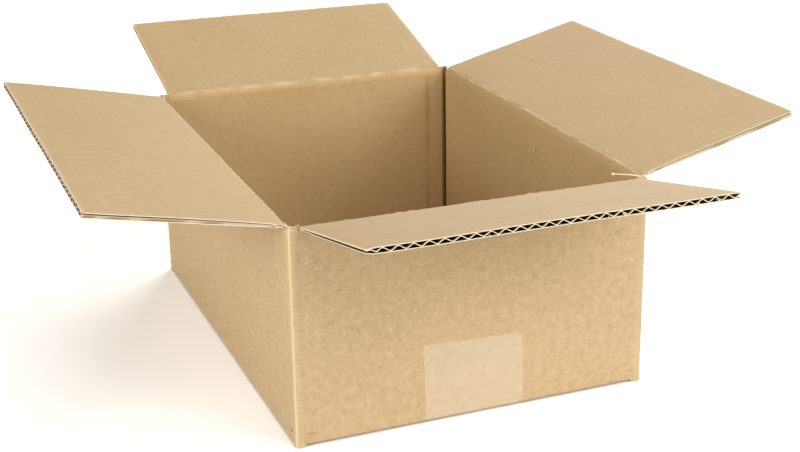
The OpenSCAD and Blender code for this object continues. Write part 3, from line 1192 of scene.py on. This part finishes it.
# Torn fibres
# The slotting knives left frayed paper on the corner posts' tops, with one loose sliver at the front
# right, and tore a few shreds of the medium out of the front flap's cut end.
STRAND_T = 0.14 * MM


def add_strand(build, path, width, way):
    """A strand of torn paper along a path, flat across the given way and finer at its free end."""
    rows = []
    last = len(path) - 1
    for k, point in enumerate(path):
        half_across = Vector(way).normalized() * (width * (1 - 0.5 * k / last) / 2)
        along = Vector(path[min(last, k + 1)]) - Vector(path[max(0, k - 1)])
        up = along.cross(half_across).normalized() * STRAND_T / 2
        rows.append([
            (tuple(edge + up), tuple(edge - up), (point[0], point[1] + lift), 1.0)
            for edge, lift in ((Vector(point) - half_across, 0), (Vector(point) + half_across, width))
        ])
    add_shell(build, *grids(rows), faces=(CUT_PAPER, CUT_PAPER), lifts=(0.0, 0.0), rim=CUT_PAPER)


# Each fray starts just inside a post's top, this far from the corner, and reaches this far along
# and up, in millimetres
FRAYS = (
    (0.8, 1.9, 0.9), (1.6, -1.4, 1.5), (2.3, 2.2, 0.4),
    (3.1, 1.4, 1.3), (3.9, -1.9, 0.7), (4.4, 1.2, 1.7),
)
FRAY_W = 0.4 * MM
FRAY_BEND = 0.5 * MM
FRAY_ROOT = 0.15 * MM
fibres = new_build()
for number, side in enumerate(("left", "front", "back")):
    for short, reach, rise in FRAYS:
        bend = FRAY_BEND * wobble(short, number, 51, 0.7)
        for end in (1, -1):
            along = end * (SIDES[side]["half"] - short * MM)
            out = SIDES[side]["depth"] - board_t * (0.3 + 0.15 * number)
            add_strand(fibres, [
                at_side(side, along, out, post_top - FRAY_ROOT),
                at_side(side, along - end * reach * 0.4 * MM, out + bend, post_top + rise * 0.6 * MM),
                at_side(side, along - end * reach * MM, out + 1.6 * bend, post_top + rise * 0.8 * MM),
            ], FRAY_W, at_side(side, 0, 1, 0.6))
# The other strands, each a path in millimetres, a width and the way that its flat side lies: the
# sliver, the scraps at its tip and its root, and a pale fibre on the inside of the right panel
STRANDS = (
    (((83.6, -113.6, 100.5), (79.5, -113.6, 101.7), (75.5, -113.6, 102.5), (71.5, -113.6, 103.2),
      (68.4, -113.6, 103.7)), 0.8, (0, 0.3, 1)),
    (((68.8, -113.6, 103.6), (68.0, -113.6, 103.8), (67.4, -113.6, 103.7)), 1.3, (0, 0.3, 1)),
    (((84.6, -114.4, 100.1), (83.9, -114.7, 100.9), (83.0, -114.9, 101.3)), 1.1, (1, 0.6, 0)),
    (((82.6, -6.2, 85.1), (81.9, -6.5, 84.2), (81.7, -6.2, 82.8)), 0.8, (0.3, 1, 0)),
)
for path, width, way in STRANDS:
    add_strand(fibres, [tuple(value * MM for value in point) for point in path], width * MM, way)
corner_fibres = make_piece(fibres, "corner_fibres")
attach(corner_fibres, "box")

# Each shred: place across, width, and how far it leans aside, out and down, in millimetres
SHREDS = ((19.6, 0.25, -0.8, 0.9, 0.9), (20.3, 0.2, 0.5, 1.1, 0.3), (26.0, 0.9, 0.5, 0.8, 1.0),
          (59.7, 1.0, -0.4, 0.9, 1.1), (68.6, 0.8, 0.6, 0.9, 0.8), (-31.5, 0.3, 0.7, 0.8, 0.6))
shape = flap_geometry("front")
place = flap_place("front", shape)
shreds = new_build()
for across, width, aside, reach, fall in SHREDS:
    across *= MM
    cut = flap_span("front", shape)(across)[1]
    add_strand(shreds, [
        place(across, cut - 0.7 * MM, -0.3 * MM),
        place(across + 0.4 * aside * MM, cut + 0.5 * reach * MM, -0.5 * MM),
        place(across + aside * MM, cut + reach * MM, -(0.5 + fall) * MM),
    ], width * MM, (1, 0, 0))
front_fibres = make_piece(shreds, "front_flap_fibres")
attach(front_fibres, "front")

# Packing tape
# Clear brown polypropylene tape over the bottom seam, turned up on both end panels. It lies close on
# the paper, with hazy patches where its glue hasn't wetted the fibres, and its front end is cut askew.
tape_low, tape_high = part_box("seam_tape")
TAPE_T = 0.06 * MM
TAPE_FRONT_H = 37.2 * MM
TAPE_FRONT_DROP = 2.1 * MM
TAPE_SKEW = 1.1 * MM
TAPE_BACK_H = 41 * MM
TAPE_GLUE_T = 0.03 * MM
TAPE_STEP = 2 * MM
TAPE_ROW_STEP = 2.5 * MM
# The height and grain of the small teeth at its front end, and of the patches that its glue misses
TAPE_TEETH = (0.2 * MM, 2.2 * MM)
TAPE_PATCHES = (0.05 * MM, 6 * MM)
TAPE_EDGE_FADE = 0.8 * MM
# Above this height it lies on a wall, and below it the box's weight presses its folds flat
TAPE_WALL_FROM = 3 * MM
TAPE_PRESSED = 0.3


def tape_line(side, height):
    """Section of the tape on one end panel, from its end to the middle of the bottom."""
    depth = SIDES[side]["depth"]
    line = [(depth, height)]
    run_to(line, (depth, END_FOLD_Z + END_FOLD_R), TAPE_ROW_STEP)
    line += arc((depth - END_FOLD_R, END_FOLD_Z + END_FOLD_R), END_FOLD_R, 0, -90, ARC_STEPS)[1:]
    line.append((depth - SLOT_HALF, OUTER_LAYER_Z))
    run_to(line, (0, OUTER_LAYER_Z), FLAP_STEP)
    return line


tape = new_build()
tape_columns = steps(tape_low.x, tape_high.x, TAPE_STEP)
tape_half = (tape_high.x - tape_low.x) / 2
tape_middle = (tape_high.x + tape_low.x) / 2
front_line = tape_line("front", TAPE_FRONT_H)
back_line = tape_line("back", TAPE_BACK_H)
# A point on the front end panel has the sign 1, and one on the back end panel -1
whole_line = [(1, *p) for p in front_line] + [(-1, *p) for p in reversed(back_line[:-1])]
path = [(sign * out, z) for sign, out, z in whole_line]
rows = []
travelled = 0.0
for k, here in enumerate(path):
    sign, z = whole_line[k][0], here[1]
    last = path[max(0, k - 1)]
    away = square_to(last, path[min(len(path) - 1, k + 1)])
    travelled += math.dist(here, last)
    row = []
    for x in tape_columns:
        across = (x - tape_middle) / tape_half
        height, shift, swell = z, 0.0, 0.0
        if sign > 0 and z > END_FOLD_Z + END_FOLD_R:
            share = (z - END_FOLD_Z) / TAPE_FRONT_H
            height -= TAPE_FRONT_DROP / 2 * across * share
            height += TAPE_TEETH[0] * wobble(x, 0, 31, TAPE_TEETH[1]) * share ** 6
            shift = -TAPE_SKEW * share
        if z > TAPE_WALL_FROM:
            swell = bow("front" if sign > 0 else "back", (x + shift) * sign, height)
        lift = TAPE_GLUE_T + TAPE_PATCHES[0] * max(0, wobble(x, travelled, 33, TAPE_PATCHES[1]))
        sink = 1 if z > TAPE_WALL_FROM else TAPE_PRESSED
        cell = []
        for rise in (lift + TAPE_T, lift):
            back = -(here[0] + away[0] * rise * sink) - sign * swell
            cell.append((x + shift, back, height + away[1] * rise * sink))
        edge = math.exp(-(1 - abs(across)) * tape_half / TAPE_EDGE_FADE)
        row.append((*cell, (x, travelled), edge))
    rows.append(row)
add_shell(tape, *grids(rows), rim=LINER)


def tape_film():
    """Thin polypropylene film, brown and clear, with the haze of dry glue under it."""
    material, tree, surface = new_material("polypropylene_tape")
    spot = add_node(tree, "ShaderNodeUVMap", {"uv_map": "sheet"}).outputs["UV"]
    blotches = add_node(tree, "ShaderNodeTexNoise", inputs={
        "Vector": spot, "Scale": 1 / (5 * MM), "Detail": 4.0, "Roughness": 0.6,
    }).outputs["Fac"]
    haze = add_node(tree, "ShaderNodeMapRange", {"interpolation_type": "SMOOTHSTEP"}, {
        "Value": blotches, "From Min": 0.35, "From Max": 0.65, "To Min": 0.36, "To Max": 0.44,
    }).outputs["Result"]
    bsdf = add_node(tree, "ShaderNodeBsdfPrincipled", inputs={
        "Base Color": srgb("#e9d6b5"),
        "Roughness": 0.38,
        "IOR": 1.49,
        "Alpha": haze,
    })
    tree.links.new(bsdf.outputs["BSDF"], surface)
    return material


packing_tape = make_piece(tape, "packing_tape")
packing_tape.data.materials.clear()
packing_tape.data.materials.append(tape_film())
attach(packing_tape, "box")
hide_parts("seam_tape")
